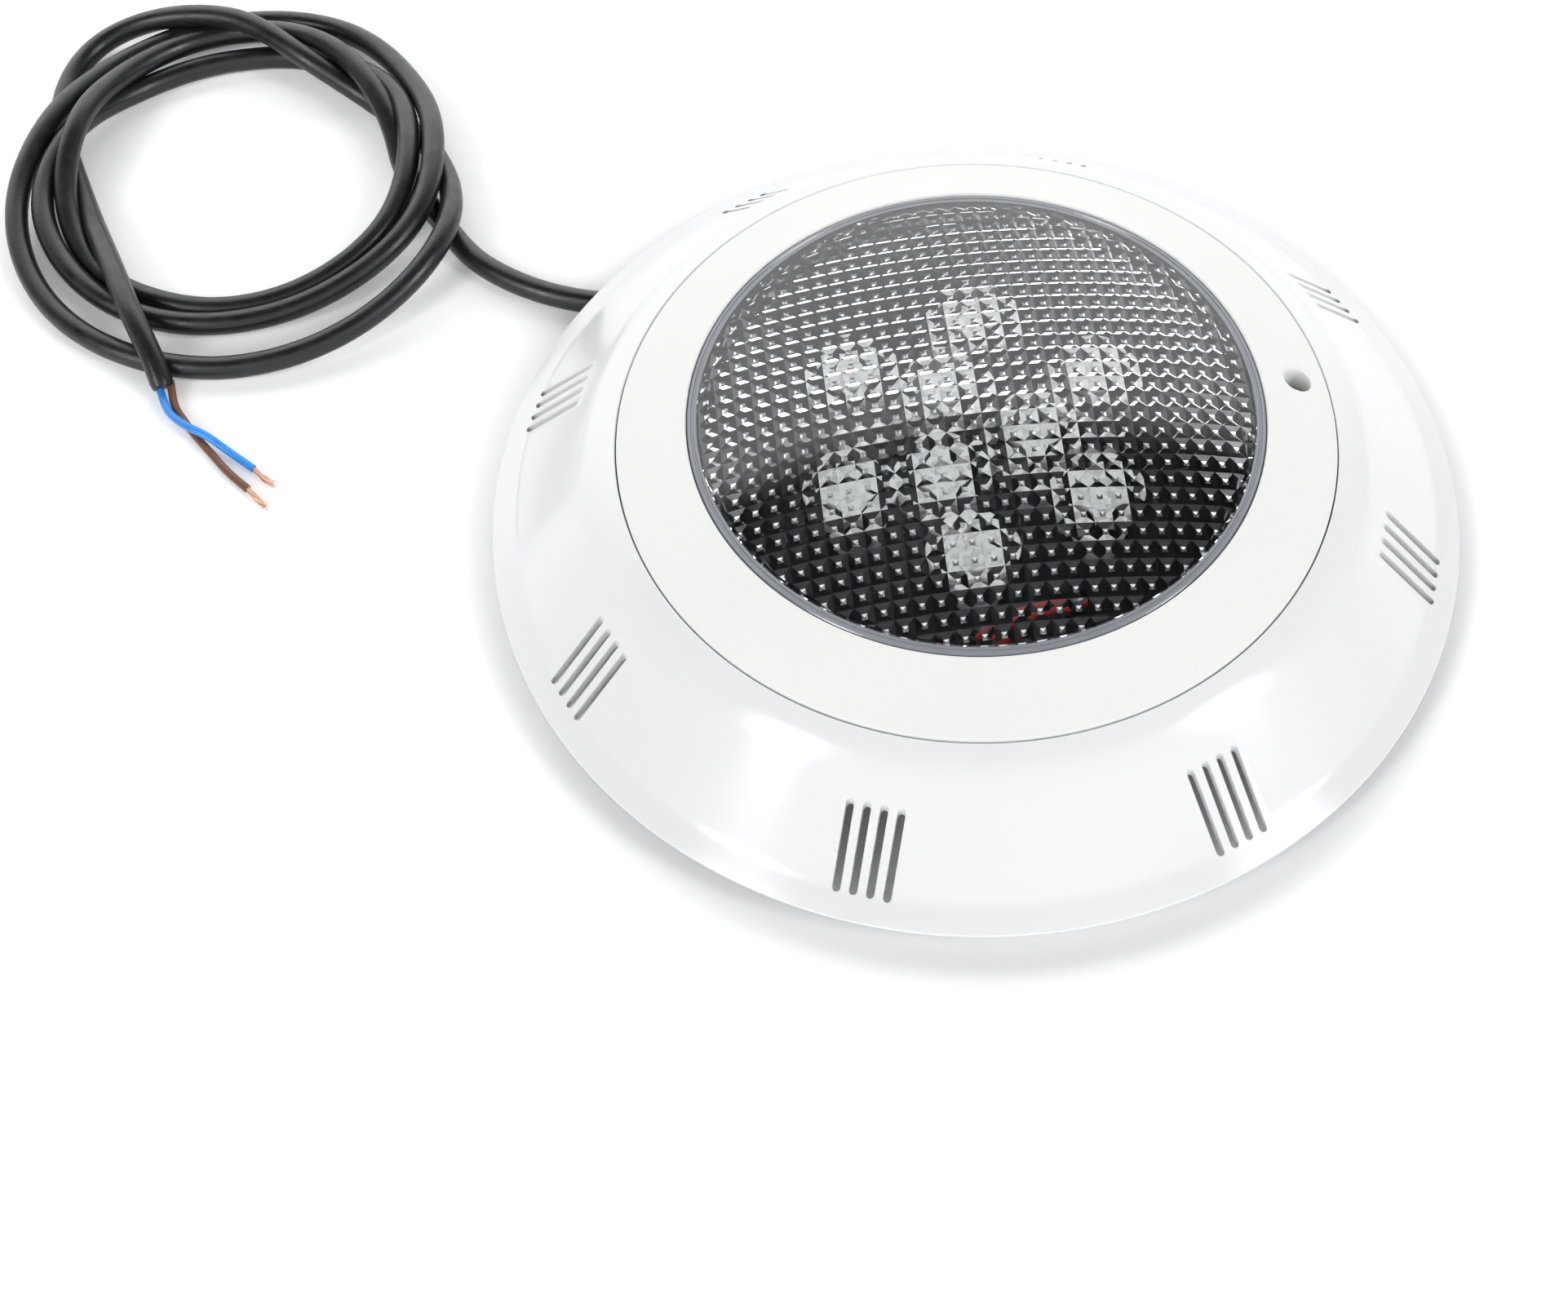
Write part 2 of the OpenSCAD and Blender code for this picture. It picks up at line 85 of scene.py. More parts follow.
BEZEL_STEP_R, BEZEL_STEP_Z, BEZEL_UNDER_Z = 88.5, 46.2, 44.8

CABLE_D = 7.6
CORE_D = 2.6
FLOOR_Z = CABLE_D / 2 + 0.2
GLAND_ANGLE, GLAND_Z, RELIEF_END = math.radians(130), 10.5, 114.0

# The cable from the strain relief to the coil
LEAD = [
    ((RELIEF_END + far) * math.cos(GLAND_ANGLE), (RELIEF_END + far) * math.sin(GLAND_ANGLE), GLAND_Z)
    for far in (0.4, 2.4, 4.4)
] + [
    (-82.5, 94.5, 8), (-91, 98.5, 5), (-104, 101, FLOOR_Z), (-118, 106.5, FLOOR_Z),
    (-130, 114, FLOOR_Z), (-139, 122, FLOOR_Z), (-145, 129.5, FLOOR_Z), (-150.5, 140, FLOOR_Z),
    (-157.5, 155, FLOOR_Z), (-165, 172, FLOOR_Z),
]
# The loose coil: each row is one turn about the centre, a [radius, height] every 30 degrees
COIL_CENTRE = (-224, 172)
COIL_START, COIL_STEP = 0, 30
COIL_TURNS = [
    [(59, 4), (60, 13), (66, 12.5), (71, 7), (63, 11), (54.5, 17), (53, 10), (52.5, 4), (51.5, 4),
     (53, 4), (55, 4.5), (61, 9.5)],
    [(63, 13), (66, 9), (64.5, 4), (60.5, 4), (59.5, 4.5), (59, 10.5), (61, 9.5), (60, 6.5), (59.5, 5),
     (60.5, 5.5), (63, 6.5), (71, 13)],
    [(71.5, 14.5), (74, 8), (80, 4.5), (79, 4), (73, 6.5), (68, 11.5), (70, 8), (72, 4.5), (74.5, 4),
     (78, 4), (81.5, 7.5), (83.5, 13.5)],
    [(71.5, 6), (60.5, 4), (57, 13), (73, 14), (88, 5), (65, 4)],
]
# The free end, out of the coil over its turns
TAIL = [(-271, 170, 5), (-262, 141, 10.5), (-254, 115, 13), (-248, 98, 9), (-245.5, 89, 4.5)]

BROWN = [
    (-243.5, 92, 3.4), (-242.5, 83, 2), (-240, 77.5, 1.5), (-236, 70, 1.5), (-231, 62, 1.5),
    (-226, 54, 1.5), (-220, 46.5, 1.5),
]
BLUE = [
    (-247.5, 92, 3.6), (-245, 82, 3), (-242, 76.5, 3.6), (-237, 71, 4.6), (-231.5, 67, 4),
    (-225.5, 61.5, 2.2), (-218, 54, 1.5),
]
BROWN_STRANDS = [(-220, 46.5, 1.5), (-216.5, 41.5, 1.4), (-214, 38, 1.2)]
BLUE_STRANDS = [(-218, 54, 1.5), (-214, 49, 1.4), (-211, 46.5, 1.2)]


# ---------------------------------------------------------------- geometry helpers

def new_object(name, mesh, body, mat):
    """An object in the scene with its material and slot, riding the body if one is named."""
    obj = bpy.data.objects.new(name, mesh)
    bpy.context.collection.objects.link(obj)
    mesh.materials.clear()
    mesh.materials.append(mat)
    if body:
        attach(obj, body)
    return obj


def mesh_from(name, verts, faces, smooth_angle=None):
    """Mesh in metres from millimetre points; smooth where faces meet at less than the angle in degrees."""
    mesh = bpy.data.meshes.new(name)
    mesh.from_pydata([Vector(v) * M for v in verts], [], faces)
    mesh.validate()
    if smooth_angle is not None:
        mesh.shade_smooth()
        mesh.set_sharp_from_angle(angle=math.radians(smooth_angle))
    return mesh


def cleaned(mesh, smooth_angle):
    """The mesh with double points merged and its faces turned outwards."""
    bm = bmesh.new()
    bm.from_mesh(mesh)
    bmesh.ops.remove_doubles(bm, verts=bm.verts, dist=0.02 * M)
    bmesh.ops.recalc_face_normals(bm, faces=bm.faces)
    bm.to_mesh(mesh)
    bm.free()
    mesh.shade_smooth()
    mesh.set_sharp_from_angle(angle=math.radians(smooth_angle))
    return mesh


def catmull(points, steps):
    """Smooth path through the points with so many steps from one to the next."""
    p = [Vector(q) for q in points]
    out = []
    for i in range(len(p) - 1):
        a, b, c, d = p[max(i - 1, 0)], p[i], p[i + 1], p[min(i + 2, len(p) - 1)]
        for s in range(steps):
            t = s / steps
            out.append(0.5 * (2 * b + (c - a) * t + (2 * a - 5 * b + 4 * c - d) * t * t
                              + (3 * b - a - 3 * c + d) * t ** 3))
    return out + [p[-1]]


def resampled(path, step):
    """The same path with its points a fixed distance apart."""
    line = np.array([list(q) for q in path])
    along = np.concatenate([[0], np.cumsum(np.linalg.norm(np.diff(line, axis=0), axis=1))])
    marks = np.linspace(0, along[-1], max(int(along[-1] / step), 2) + 1)
    return [Vector([np.interp(m, along, line[:, k]) for k in range(3)]) for m in marks]


def eased(path, times):
    """The path with each inner point drawn towards the middle of its neighbours."""
    line = np.array([list(q) for q in path])
    for _ in range(times):
        line[1:-1] = 0.5 * line[1:-1] + 0.25 * (line[:-2] + line[2:])
    return [Vector(q) for q in line]


def tube_data(path, radius, sides, first=0):
    """Vertices and faces of a closed tube; radius is a number or a function of the share along it."""
    verts, faces = [], []
    last = len(path) - 1
    side = None
    for i, point in enumerate(path):
        along = (path[min(i + 1, last)] - path[max(i - 1, 0)]).normalized()
        if side is None:
            side = along.cross(Vector((0.1, 0.2, 1))).normalized()
        side = (side - along * side.dot(along)).normalized()
        top = along.cross(side)
        r = radius(i / last) if callable(radius) else radius
        for k in range(sides):
            a = 2 * math.pi * k / sides
            verts.append(point + r * (math.cos(a) * side + math.sin(a) * top))
    for i in range(last):
        for k in range(sides):
            j = (k + 1) % sides
            a, b = first + i * sides, first + (i + 1) * sides
            faces.append((a + k, a + j, b + j, b + k))
    faces.append(tuple(first + k for k in reversed(range(sides))))
    faces.append(tuple(first + last * sides + k for k in range(sides)))
    return verts, faces


def tube(name, path, radius, sides, smooth_angle=50):
    """Mesh of a closed tube along a path."""
    verts, faces = tube_data(path, radius, sides)
    return mesh_from(name, verts, faces, smooth_angle)


def lathe_data(outline, segments):
    """Vertices and quads of an open outline of (radius, height) points turned about Z."""
    verts, faces = [], []
    n = len(outline)
    for k in range(segments):
        a = 2 * math.pi * k / segments
        for r, z in outline:
            verts.append((r * math.cos(a), r * math.sin(a), z))
    for k in range(segments):
        j = (k + 1) % segments
        for i in range(n - 1):
            faces.append((k * n + i, j * n + i, j * n + i + 1, k * n + i + 1))
    return verts, faces


def arc(centre, radius, a0, a1, steps):
    """Points of an arc in the (radius, height) plane, angles in degrees."""
    return [
        (centre[0] + radius * math.cos(math.radians(a0 + (a1 - a0) * k / steps)),
         centre[1] + radius * math.sin(math.radians(a0 + (a1 - a0) * k / steps)))
        for k in range(steps + 1)
    ]


def filleted(corners, radii, steps=5):
    """An open outline with each inner corner replaced by an arc that touches both of its sides."""
    out = [corners[0]]
    for i in range(1, len(corners) - 1):
        p, a, b = (Vector(q).to_2d() for q in (corners[i], corners[i - 1], corners[i + 1]))
        u, v = (a - p).normalized(), (b - p).normalized()
        half = math.acos(max(-1, min(1, u.dot(v)))) / 2
        r = radii[i]
        reach = min(r / math.tan(half), 0.49 * (a - p).length, 0.49 * (b - p).length)
        r = reach * math.tan(half)
        centre = p + (u + v).normalized() * (r / math.sin(half))
        start, end = p + u * reach - centre, p + v * reach - centre
        turn = math.atan2(start.x * end.y - start.y * end.x, start.dot(end))
        a0 = math.atan2(start.y, start.x)
        out += [
            (centre.x + r * math.cos(a0 + turn * k / steps), centre.y + r * math.sin(a0 + turn * k / steps))
            for k in range(steps + 1)
        ]
    return out + [corners[-1]]


def height_at(outline, r):
    """Height of a surface given by (radius, height) points at one radius."""
    pts = sorted(outline)
    return float(np.interp(r, [p[0] for p in pts], [p[1] for p in pts]))


def append_to(verts, faces, new_verts, new_faces):
    """Add vertices, and faces that count from the first of them, to a mesh's lists."""
    base = len(verts)
    verts.extend(new_verts)
    faces.extend(tuple(base + i for i in f) for f in new_faces)


def circle(x, radius, count):
    """Points of a circle about (x, 0) in the plane."""
    return [(x + radius * math.cos(a), radius * math.sin(a))
            for a in np.linspace(0, 2 * math.pi, count, endpoint=False)]


def stadium(x0, x1, y, radius, turn, steps=8):
    """Closed outline of a slot from x0 to x1 at height y, turned about the origin, in the plane."""
    pts = [(x1 + radius * math.cos(a), y + radius * math.sin(a))
           for a in np.linspace(-math.pi / 2, math.pi / 2, steps + 1)]
    pts += [(x0 + radius * math.cos(a), y + radius * math.sin(a))
            for a in np.linspace(math.pi / 2, 3 * math.pi / 2, steps + 1)]
    c, s = math.cos(turn), math.sin(turn)
    return [(x * c - y2 * s, x * s + y2 * c) for x, y2 in pts]


def annulus_with_holes(radii, segments, holes):
    """Triangles of a flat ring with holes: plane points and faces. radii go from one edge to the other."""
    pts, edges = [], []
    for r in radii:
        base = len(pts)
        for k in range(segments):
            a = 2 * math.pi * k / segments
            pts.append(Vector((r * math.cos(a), r * math.sin(a))))
        if r in (radii[0], radii[-1]):
            edges += [(base + k, base + (k + 1) % segments) for k in range(segments)]
    boxes = []
    for h in holes:
        hx, hy = [p[0] for p in h], [p[1] for p in h]
        boxes.append((min(hx), max(hx), min(hy), max(hy)))
    kept, index, clear = [], {}, 0.25
    for i, p in enumerate(pts):
        near = any(x0 - clear < p.x < x1 + clear and y0 - clear < p.y < y1 + clear
                   and inside_outline(p, h, clear) for (x0, x1, y0, y1), h in zip(boxes, holes))
        if not near:
            index[i] = len(kept)
            kept.append(p)
    edges = [(index[a], index[b]) for a, b in edges if a in index and b in index]
    for h in holes:
        base = len(kept)
        kept += [Vector(p) for p in h]
        edges += [(base + k, base + (k + 1) % len(h)) for k in range(len(h))]
    verts, _, faces, *_ = delaunay_2d_cdt(kept, edges, [], 0, 1e-6)
    low, high = min(radii[0], radii[-1]), max(radii[0], radii[-1])
    shrink = math.cos(math.pi / segments)
    out = []
    for f in faces:
        c = sum((verts[i] for i in f), Vector((0, 0))) / len(f)
        if not low * shrink < c.length < high:
            continue
        if any(x0 < c.x < x1 and y0 < c.y < y1 and inside_outline(c, h, 0)
               for (x0, x1, y0, y1), h in zip(boxes, holes)):
            continue
        out.append(tuple(f))
    return verts, out


def inside_outline(p, outline, margin):
    """True if the point is within the closed convex outline, or closer to it than margin."""
    n = len(outline)
    for k in range(n):
        ax, ay = outline[k]
        bx, by = outline[(k + 1) % n]
        ex, ey = bx - ax, by - ay
        long = math.hypot(ex, ey)
        if long < 1e-9:
            continue
        if (ex * (p.y - ay) - ey * (p.x - ax)) / long < -margin:
            return False
    return True


# ---------------------------------------------------------------- materials

def node(tree, kind, **values):
    """A new node with these settings."""
    n = tree.nodes.new(kind)
    for key, value in values.items():
        setattr(n, key, value)
    return n


def surface(name, colour, rough, tint=0.03, tint_scale=30, grain=0.0, grain_scale=900, rough_spread=0.05,
            metallic=0.0, coat=0.0, transmission=0.0, ior=1.46, specular=0.5, mosaic=0.0, glow=0.0):
    """Principled material whose colour, roughness and fine relief vary over the object."""
    mat = bpy.data.materials.new(name)
    mat.use_nodes = True
    tree = mat.node_tree
    bsdf = tree.nodes["Principled BSDF"]
    link = tree.links.new
    place = node(tree, "ShaderNodeTexCoord")
    broad = node(tree, "ShaderNodeTexNoise")
    broad.inputs["Scale"].default_value = tint_scale
    broad.inputs["Detail"].default_value = 6
    link(place.outputs["Object"], broad.inputs["Vector"])
    ramp = node(tree, "ShaderNodeValToRGB")
    ramp.color_ramp.elements[0].position = 0.3
    ramp.color_ramp.elements[1].position = 0.7
    ramp.color_ramp.elements[0].color = (*[c * (1 - tint) for c in colour], 1)
    ramp.color_ramp.elements[1].color = (*[min(c * (1 + tint), 1) for c in colour], 1)
    link(broad.outputs["Fac"], ramp.inputs["Fac"])
    shade = ramp.outputs["Color"]
    fine = node(tree, "ShaderNodeTexNoise")
    fine.inputs["Scale"].default_value = grain_scale
    fine.inputs["Detail"].default_value = 4
    link(place.outputs["Object"], fine.inputs["Vector"])
    if mosaic:
        mix = node(tree, "ShaderNodeMix", data_type="RGBA", blend_type="MULTIPLY")
        cells = node(tree, "ShaderNodeTexVoronoi")
        cells.inputs["Scale"].default_value = 500
        link(place.outputs["Object"], cells.inputs["Vector"])
        spots = node(tree, "ShaderNodeValToRGB")
        spots.color_ramp.elements[0].position = 0.15
        spots.color_ramp.elements[1].position = 0.55
        spots.color_ramp.elements[0].color = (1 - mosaic, 1 - mosaic, 1 - mosaic, 1)
        spots.color_ramp.elements[1].color = (1, 1, 1, 1)
        link(cells.outputs["Color"], spots.inputs["Fac"])
        mix.inputs["Factor"].default_value = 1
        link(shade, mix.inputs["A"])
        link(spots.outputs["Color"], mix.inputs["B"])
        shade = mix.outputs["Result"]
    link(shade, bsdf.inputs["Base Color"])
    if rough_spread:
        spread = node(tree, "ShaderNodeMapRange")
        spread.inputs["From Min"].default_value = 0.3
        spread.inputs["From Max"].default_value = 0.7
        spread.inputs["To Min"].default_value = max(rough - rough_spread, 0)
        spread.inputs["To Max"].default_value = min(rough + rough_spread, 1)
        smear = node(tree, "ShaderNodeTexNoise")
        smear.inputs["Scale"].default_value = tint_scale * 3.3
        smear.inputs["Detail"].default_value = 5
        link(place.outputs["Object"], smear.inputs["Vector"])
        link(smear.outputs["Fac"], spread.inputs["Value"])
        link(spread.outputs["Result"], bsdf.inputs["Roughness"])
    else:
        bsdf.inputs["Roughness"].default_value = rough
    if grain:
        bump = node(tree, "ShaderNodeBump")
        bump.inputs["Strength"].default_value = grain
        bump.inputs["Distance"].default_value = 0.0002
        link(fine.outputs["Fac"], bump.inputs["Height"])
        link(bump.outputs["Normal"], bsdf.inputs["Normal"])
    bsdf.inputs["Metallic"].default_value = metallic
    bsdf.inputs["Coat Weight"].default_value = coat
    bsdf.inputs["Coat Roughness"].default_value = 0.08
    bsdf.inputs["Specular IOR Level"].default_value = specular
    bsdf.inputs["Transmission Weight"].default_value = transmission
    bsdf.inputs["IOR"].default_value = ior
    if glow:
        bsdf.inputs["Emission Color"].default_value = (1, 1, 1, 1)
        bsdf.inputs["Emission Strength"].default_value = glow
    return mat


MATS = {
    "trim_plastic": surface("glossy_white_plastic", (0.745, 0.745, 0.765), 0.13, tint=0.012, tint_scale=14,
                            grain=0.06, grain_scale=260, rough_spread=0.04, ior=1.5),
    "bezel_plastic": surface("matt_white_plastic", (0.765, 0.77, 0.762), 0.45, tint=0.012, tint_scale=18,
                             grain=0.25, grain_scale=1100, rough_spread=0.06, specular=0.25),
    "lens_clear": surface("lens_polycarbonate", (0.93, 0.95, 0.97), 0.02, tint=0.0, rough_spread=0.0,
                          transmission=1.0, ior=1.49),
    # Dark grey on the clear outer ring of the lens: partly the dark seal under it, partly painted shade of
    # the gap seen through it
    "lens_rim": surface("lens_rim_seal_and_shade", (0.15, 0.165, 0.19), 0.16, tint=0.08, tint_scale=90, grain=0.2,
                        ior=1.6, coat=0.6),
    "lens_prisms": surface("lens_prisms", (0.9, 0.92, 0.93), 0.03, tint=0.0, rough_spread=0.0,
                           transmission=1.0, ior=1.49),
    # Mirror-like metal on the blunt tips of the clear pyramids: a painted glint, one bright dot per pyramid
    "lens_tips": surface("lens_tips_painted_glint", (0.8, 0.8, 0.82), 0.18, tint=0.1, tint_scale=160,
                         rough_spread=0.08, metallic=1.0),
    # The collimators glow a little though the lamp is off: painted light that lifts them out of the dark
    # behind the lens
    "collimator_clear": surface("collimator_acrylic_painted_glow", (0.95, 0.97, 0.92), 0.25, tint=0.03, tint_scale=120,
                                grain=0.5, grain_scale=700, rough_spread=0.08, ior=1.49, mosaic=0.45,
                                glow=0.12),
    "holder_plastic": surface("holder_white", (0.62, 0.62, 0.60), 0.4, tint=0.06, grain=0.2),
    "mask_black": surface("black_mask", (0.014, 0.014, 0.016), 0.75, tint=0.15, grain=0.4, specular=0.15),
    "board_black": surface("black_solder_mask", (0.016, 0.016, 0.018), 0.6, tint=0.2, grain=0.2,
                           specular=0.2),
    "led_face": surface("led_phosphor", (0.80, 0.66, 0.18), 0.45, tint=0.1, tint_scale=400, grain=0.2),
    "spreader_aluminium": surface("cast_aluminium", (0.62, 0.63, 0.65), 0.38, tint=0.06, grain=0.4,
                                  metallic=1.0),
    "housing_plastic": surface("housing_abs", (0.055, 0.053, 0.042), 0.5, tint=0.03, grain=0.3),
    "bracket_plastic": surface("bracket_abs", (0.09, 0.088, 0.072), 0.5, tint=0.03, grain=0.3),
    "seal_rubber": surface("seal_rubber", (0.02, 0.02, 0.021), 0.6, tint=0.2, grain=0.5),
    "screw_steel": surface("stainless_steel", (0.55, 0.55, 0.53), 0.3, tint=0.06, tint_scale=150, grain=0.3,
                           metallic=1.0),
    "washer_nylon": surface("nylon", (0.62, 0.60, 0.50), 0.45, tint=0.05, grain=0.2),
    "board_green": surface("green_solder_mask", (0.03, 0.16, 0.06), 0.35, tint=0.15, tint_scale=150,
                           grain=0.3),
    "capacitor_sleeve": surface("capacitor_sleeve", (0.02, 0.03, 0.10), 0.25, tint=0.1, grain=0.1),
    "inductor_copper": surface("enamelled_copper", (0.50, 0.22, 0.08), 0.3, tint=0.15, grain=0.4,
                               metallic=1.0),
    "chip_black": surface("epoxy_black", (0.02, 0.02, 0.02), 0.55, tint=0.2, grain=0.4),
    "terminal_green": surface("terminal_green", (0.05, 0.30, 0.08), 0.35, tint=0.06, grain=0.2),
    "wire_red": surface("red_wire", (0.42, 0.012, 0.02), 0.35, tint=0.08, grain=0.2),
    "wire_black": surface("black_wire", (0.015, 0.015, 0.016), 0.35, tint=0.2, grain=0.2),
    "wire_brown": surface("brown_wire", (0.15, 0.065, 0.04), 0.38, tint=0.1, tint_scale=200, grain=0.2),
    "wire_blue": surface("blue_wire", (0.035, 0.25, 0.72), 0.35, tint=0.08, tint_scale=200, grain=0.2),
    "cable_rubber": surface("black_cable_rubber", (0.010, 0.010, 0.011), 0.33, tint=0.25, tint_scale=60,
                            grain=0.35, grain_scale=1400, rough_spread=0.08, ior=1.5),
    "gland_plastic": surface("gland_nylon", (0.03, 0.03, 0.032), 0.42, tint=0.15, grain=0.3),
    "strand_copper": surface("copper_strand", (0.88, 0.58, 0.46), 0.32, tint=0.12, tint_scale=400, grain=0.2,
                             metallic=0.85),
}


def paint_cad_nodes():
    """Each CAD node takes the material of its slot in the record."""
    for part in frame["record"]["subparts"]:
        obj = frame["nodes"][part["node"]]
        for s in obj.material_slots:
            s.link = "OBJECT"
            s.material = MATS[part["material_slot"]]


# ---------------------------------------------------------------- camera

def make_camera():
    """A camera at the height and distance of a person who looks down on the table."""
    at, aim = Vector((-90.8, -427.1, 615.8)) * M, Vector((-62.4, -36.9, 0)) * M
    roll = math.radians(-4.17)
    ahead = (aim - at).normalized()
    right = ahead.cross(Vector((0, 0, 1))).normalized()
    up = right.cross(ahead)
    right, up = (right * math.cos(roll) + up * math.sin(roll),
                 up * math.cos(roll) - right * math.sin(roll))
    data = bpy.data.cameras.new("camera")
    data.sensor_width = 36
    data.lens = 56.476
    cam = bpy.data.objects.new("camera", data)
    bpy.context.collection.objects.link(cam)
    turn = Matrix((right, up, -ahead)).transposed()
    cam.matrix_world = Matrix.Translation(at) @ turn.to_4x4()
    data.clip_start, data.clip_end = 0.01, 20
    bpy.context.scene.camera = cam


# ---------------------------------------------------------------- cable

def coil_points():
    """Points of the coil's turns, every few degrees, on a smooth curve through the turns' stations."""
    stations = [s for turn in COIL_TURNS for s in turn]
    polar = [Vector((r, z, COIL_START + COIL_STEP * k)) for k, (r, z) in enumerate(stations)]
    out = []
    for q in catmull(polar, 6):
        a = math.radians(q.z)
        out.append(Vector((COIL_CENTRE[0] + q.x * math.cos(a), COIL_CENTRE[1] + q.x * math.sin(a), q.y)))
    return out


def cable_route():
    """Centreline of the whole cable, from inside the strain relief to the jacket's end."""
    start = Vector(LEAD[0])
    out = Vector((math.cos(GLAND_ANGLE), math.sin(GLAND_ANGLE), 0))
    lead = [start - out * 12] + LEAD
    turns = coil_points()
    path = catmull(lead, 8)[:-1] + turns[1:-1] + catmull([turns[-1]] + TAIL, 8)
    route = eased(resampled(path, 2.0), 6)
    for q in route:
        q.z = max(q.z, CABLE_D / 2 + 0.05)
    return route


def make_cable():
    """The whole cable as one tube, laid between the coil and the lamp's gland."""
    path = cable_route()
    end = len(path) - 1

    def jacket(share):
        return CABLE_D / 2 - (0.35 if share * end > end - 0.5 else 0)

    cable = new_object("cable", tube("cable", path, jacket, 20), None, MATS["cable_rubber"])
    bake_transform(cable)
    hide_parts("cord_lead", "cord_coil")
    return cable, path


def make_core(name, points, slot, *replaced):
    """One insulated core beyond the jacket."""
    path = eased(resampled(catmull(points, 8), 1.0), 3)
    core = new_object(name, tube(name, path, CORE_D / 2, 16), "bracket", MATS[slot])
    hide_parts(*replaced)
    return core


def make_strands(name, points, seed, *replaced):
    """Fine bare copper strands that leave a core together and splay a little."""
    rng = random.Random(seed)
    path = resampled(catmull(points, 6), 0.8)
    count, thick, lowest = 14, 0.17, 0.25
    verts, faces = [], []
    for k in range(count):
        a = 2 * math.pi * k / count + rng.uniform(-0.2, 0.2)
        ring = 0.75 if k % 2 else 0.35
        splay = rng.uniform(0.3, 1.1)
        cut = rng.randint(len(path) - 2, len(path))
        strand = []
        for i, p in enumerate(path[:cut]):
            t = i / (len(path) - 1)
            twist = a + 2.2 * t
            reach = ring * (1 + splay * t * t)
            along = (path[min(i + 1, len(path) - 1)] - path[max(i - 1, 0)]).normalized()
            side = along.cross(Vector((0, 0, 1))).normalized()
            q = p + reach * (math.cos(twist) * side + math.sin(twist) * side.cross(along))
            q.z = max(q.z, lowest)
            strand.append(q)
        v, f = tube_data(strand, thick, 6, len(verts))
        verts += v
        faces += f
    strands = new_object(name, mesh_from(name, verts, faces, 60), "bracket",
                         MATS["strand_copper"])
    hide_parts(*replaced)
    return strands


def make_cords():
    """The cable with its cores and strands."""
    cable, path = make_cable()
    ends = [
        make_core("core_brown_free", BROWN, "wire_brown", "wire_brown"),
        make_core("core_blue_free", BLUE, "wire_blue", "wire_blue"),
        make_strands("copper_brown", BROWN_STRANDS, 3, "strands_brown"),
        make_strands("copper_blue", BLUE_STRANDS, 8, "strands_blue"),
    ]


# ---------------------------------------------------------------- lamp pieces

def trim_outer():
    """Outer outline of the trim ring, rim to seam, with its bends rounded."""
    corners = [
        (TRIM_R - 0.6, RIM_Z), (TRIM_R, RIM_Z + 0.1), (TRIM_R, RIM_Z + 1), (141, RIM_Z + 3.2), CONE_FOOT,
        SHOULDER, (SEAM_R + 0.35, SEAM_Z - 0.18), (SEAM_R, SEAM_Z - 0.6),
    ]
    return filleted(corners, [0, 0.3, 0.6, 3, 4, 28, 0.4, 0], steps=10)


def make_trim_ring():
    """Glossy slotted skirt: turned rim and shoulder, and a band with the water slots cut through it."""
    segments = 360
    outer = trim_outer()
    inner = [(RIM_IN_R, RIM_Z), (139.7, RIM_Z + 0.9), (136.4, CONE_FOOT[1] - 2.4)]
    inner += [(115.2, SHOULDER[1] - 6.6), (111.6, SHOULDER[1] - 3.0), (SEAM_R + SKIRT_T, SEAM_Z - 3.4)]
    # The band between these radii carries the slots
    band = (139.9, 118.4)
    slots, rims = [], []
    for g in range(8):
        turn = math.radians(22.5 + 45 * g)
        for s in range(4):
            y = (s - 1.5) * SLOT_PITCH
            slots.append(stadium(SLOT_NEAR, SLOT_FAR, y, SLOT_W / 2, turn))
            rims.append(stadium(SLOT_NEAR, SLOT_FAR, y, SLOT_W / 2 + SLOT_EDGE, turn))
    verts, faces = [], []

    def outer_z(r):
        return height_at(outer[3:], r)

    def inner_z(r):
        return height_at(inner, r)

    def add(new_verts, new_faces):
        append_to(verts, faces, new_verts, new_faces)

    rim_part = [p for p in outer if p[0] > band[0]] + [(band[0], outer_z(band[0]))]
    top_part = [(band[1], outer_z(band[1]))] + [p for p in outer if p[0] < band[1]]
    # Just over the flange, so that no two faces lie in one plane
    foot = FLANGE_TOP + 0.1
    skirt = [(SEAM_R, SEAM_Z - 0.6), (SEAM_R, foot), (SEAM_R + SKIRT_T, foot)]
    inner_top = [(SEAM_R + SKIRT_T, foot), (SEAM_R + SKIRT_T, SEAM_Z - 3.4)]
    inner_top += [(r, inner_z(r)) for r in (108, 111.6, 115.2, band[1])]
    inner_rim = [(band[0], inner_z(band[0])), (RIM_IN_R, RIM_Z), (TRIM_R - 0.6, RIM_Z)]
    for outline in (rim_part, top_part + skirt[1:], inner_top, inner_rim):
        add(*lathe_data(outline, segments))
    radii = [band[0], 138.9, 137.9, 137, 136, 134, 130, 126, 122, 120, band[1]]
    plane, tris = annulus_with_holes(radii, segments, rims)
    add([(p.x, p.y, outer_z(p.length)) for p in plane], tris)
    plane, tris = annulus_with_holes([band[0], 136.4, 128, band[1]], segments, slots)
    add([(p.x, p.y, inner_z(p.length)) for p in plane], tris)
    for slot, rim in zip(slots, rims):
        n = len(slot)
        loop = [(x, y, outer_z(math.hypot(x, y))) for x, y in rim]
        loop += [(x, y, outer_z(math.hypot(x, y)) - SLOT_EDGE) for x, y in slot]
        loop += [(x, y, inner_z(math.hypot(x, y))) for x, y in slot]
        walls = [(k + j * n, (k + 1) % n + j * n, (k + 1) % n + (j + 1) * n, k + (j + 1) * n)
                 for j in (0, 1) for k in range(n)]
        add(loop, walls)
    mesh = cleaned(mesh_from("trim_ring_skirt", verts, faces), 32)
    ring = new_object("trim_ring_skirt", mesh, "trim", MATS["trim_plastic"])
    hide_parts("trim_ring")
    return ring


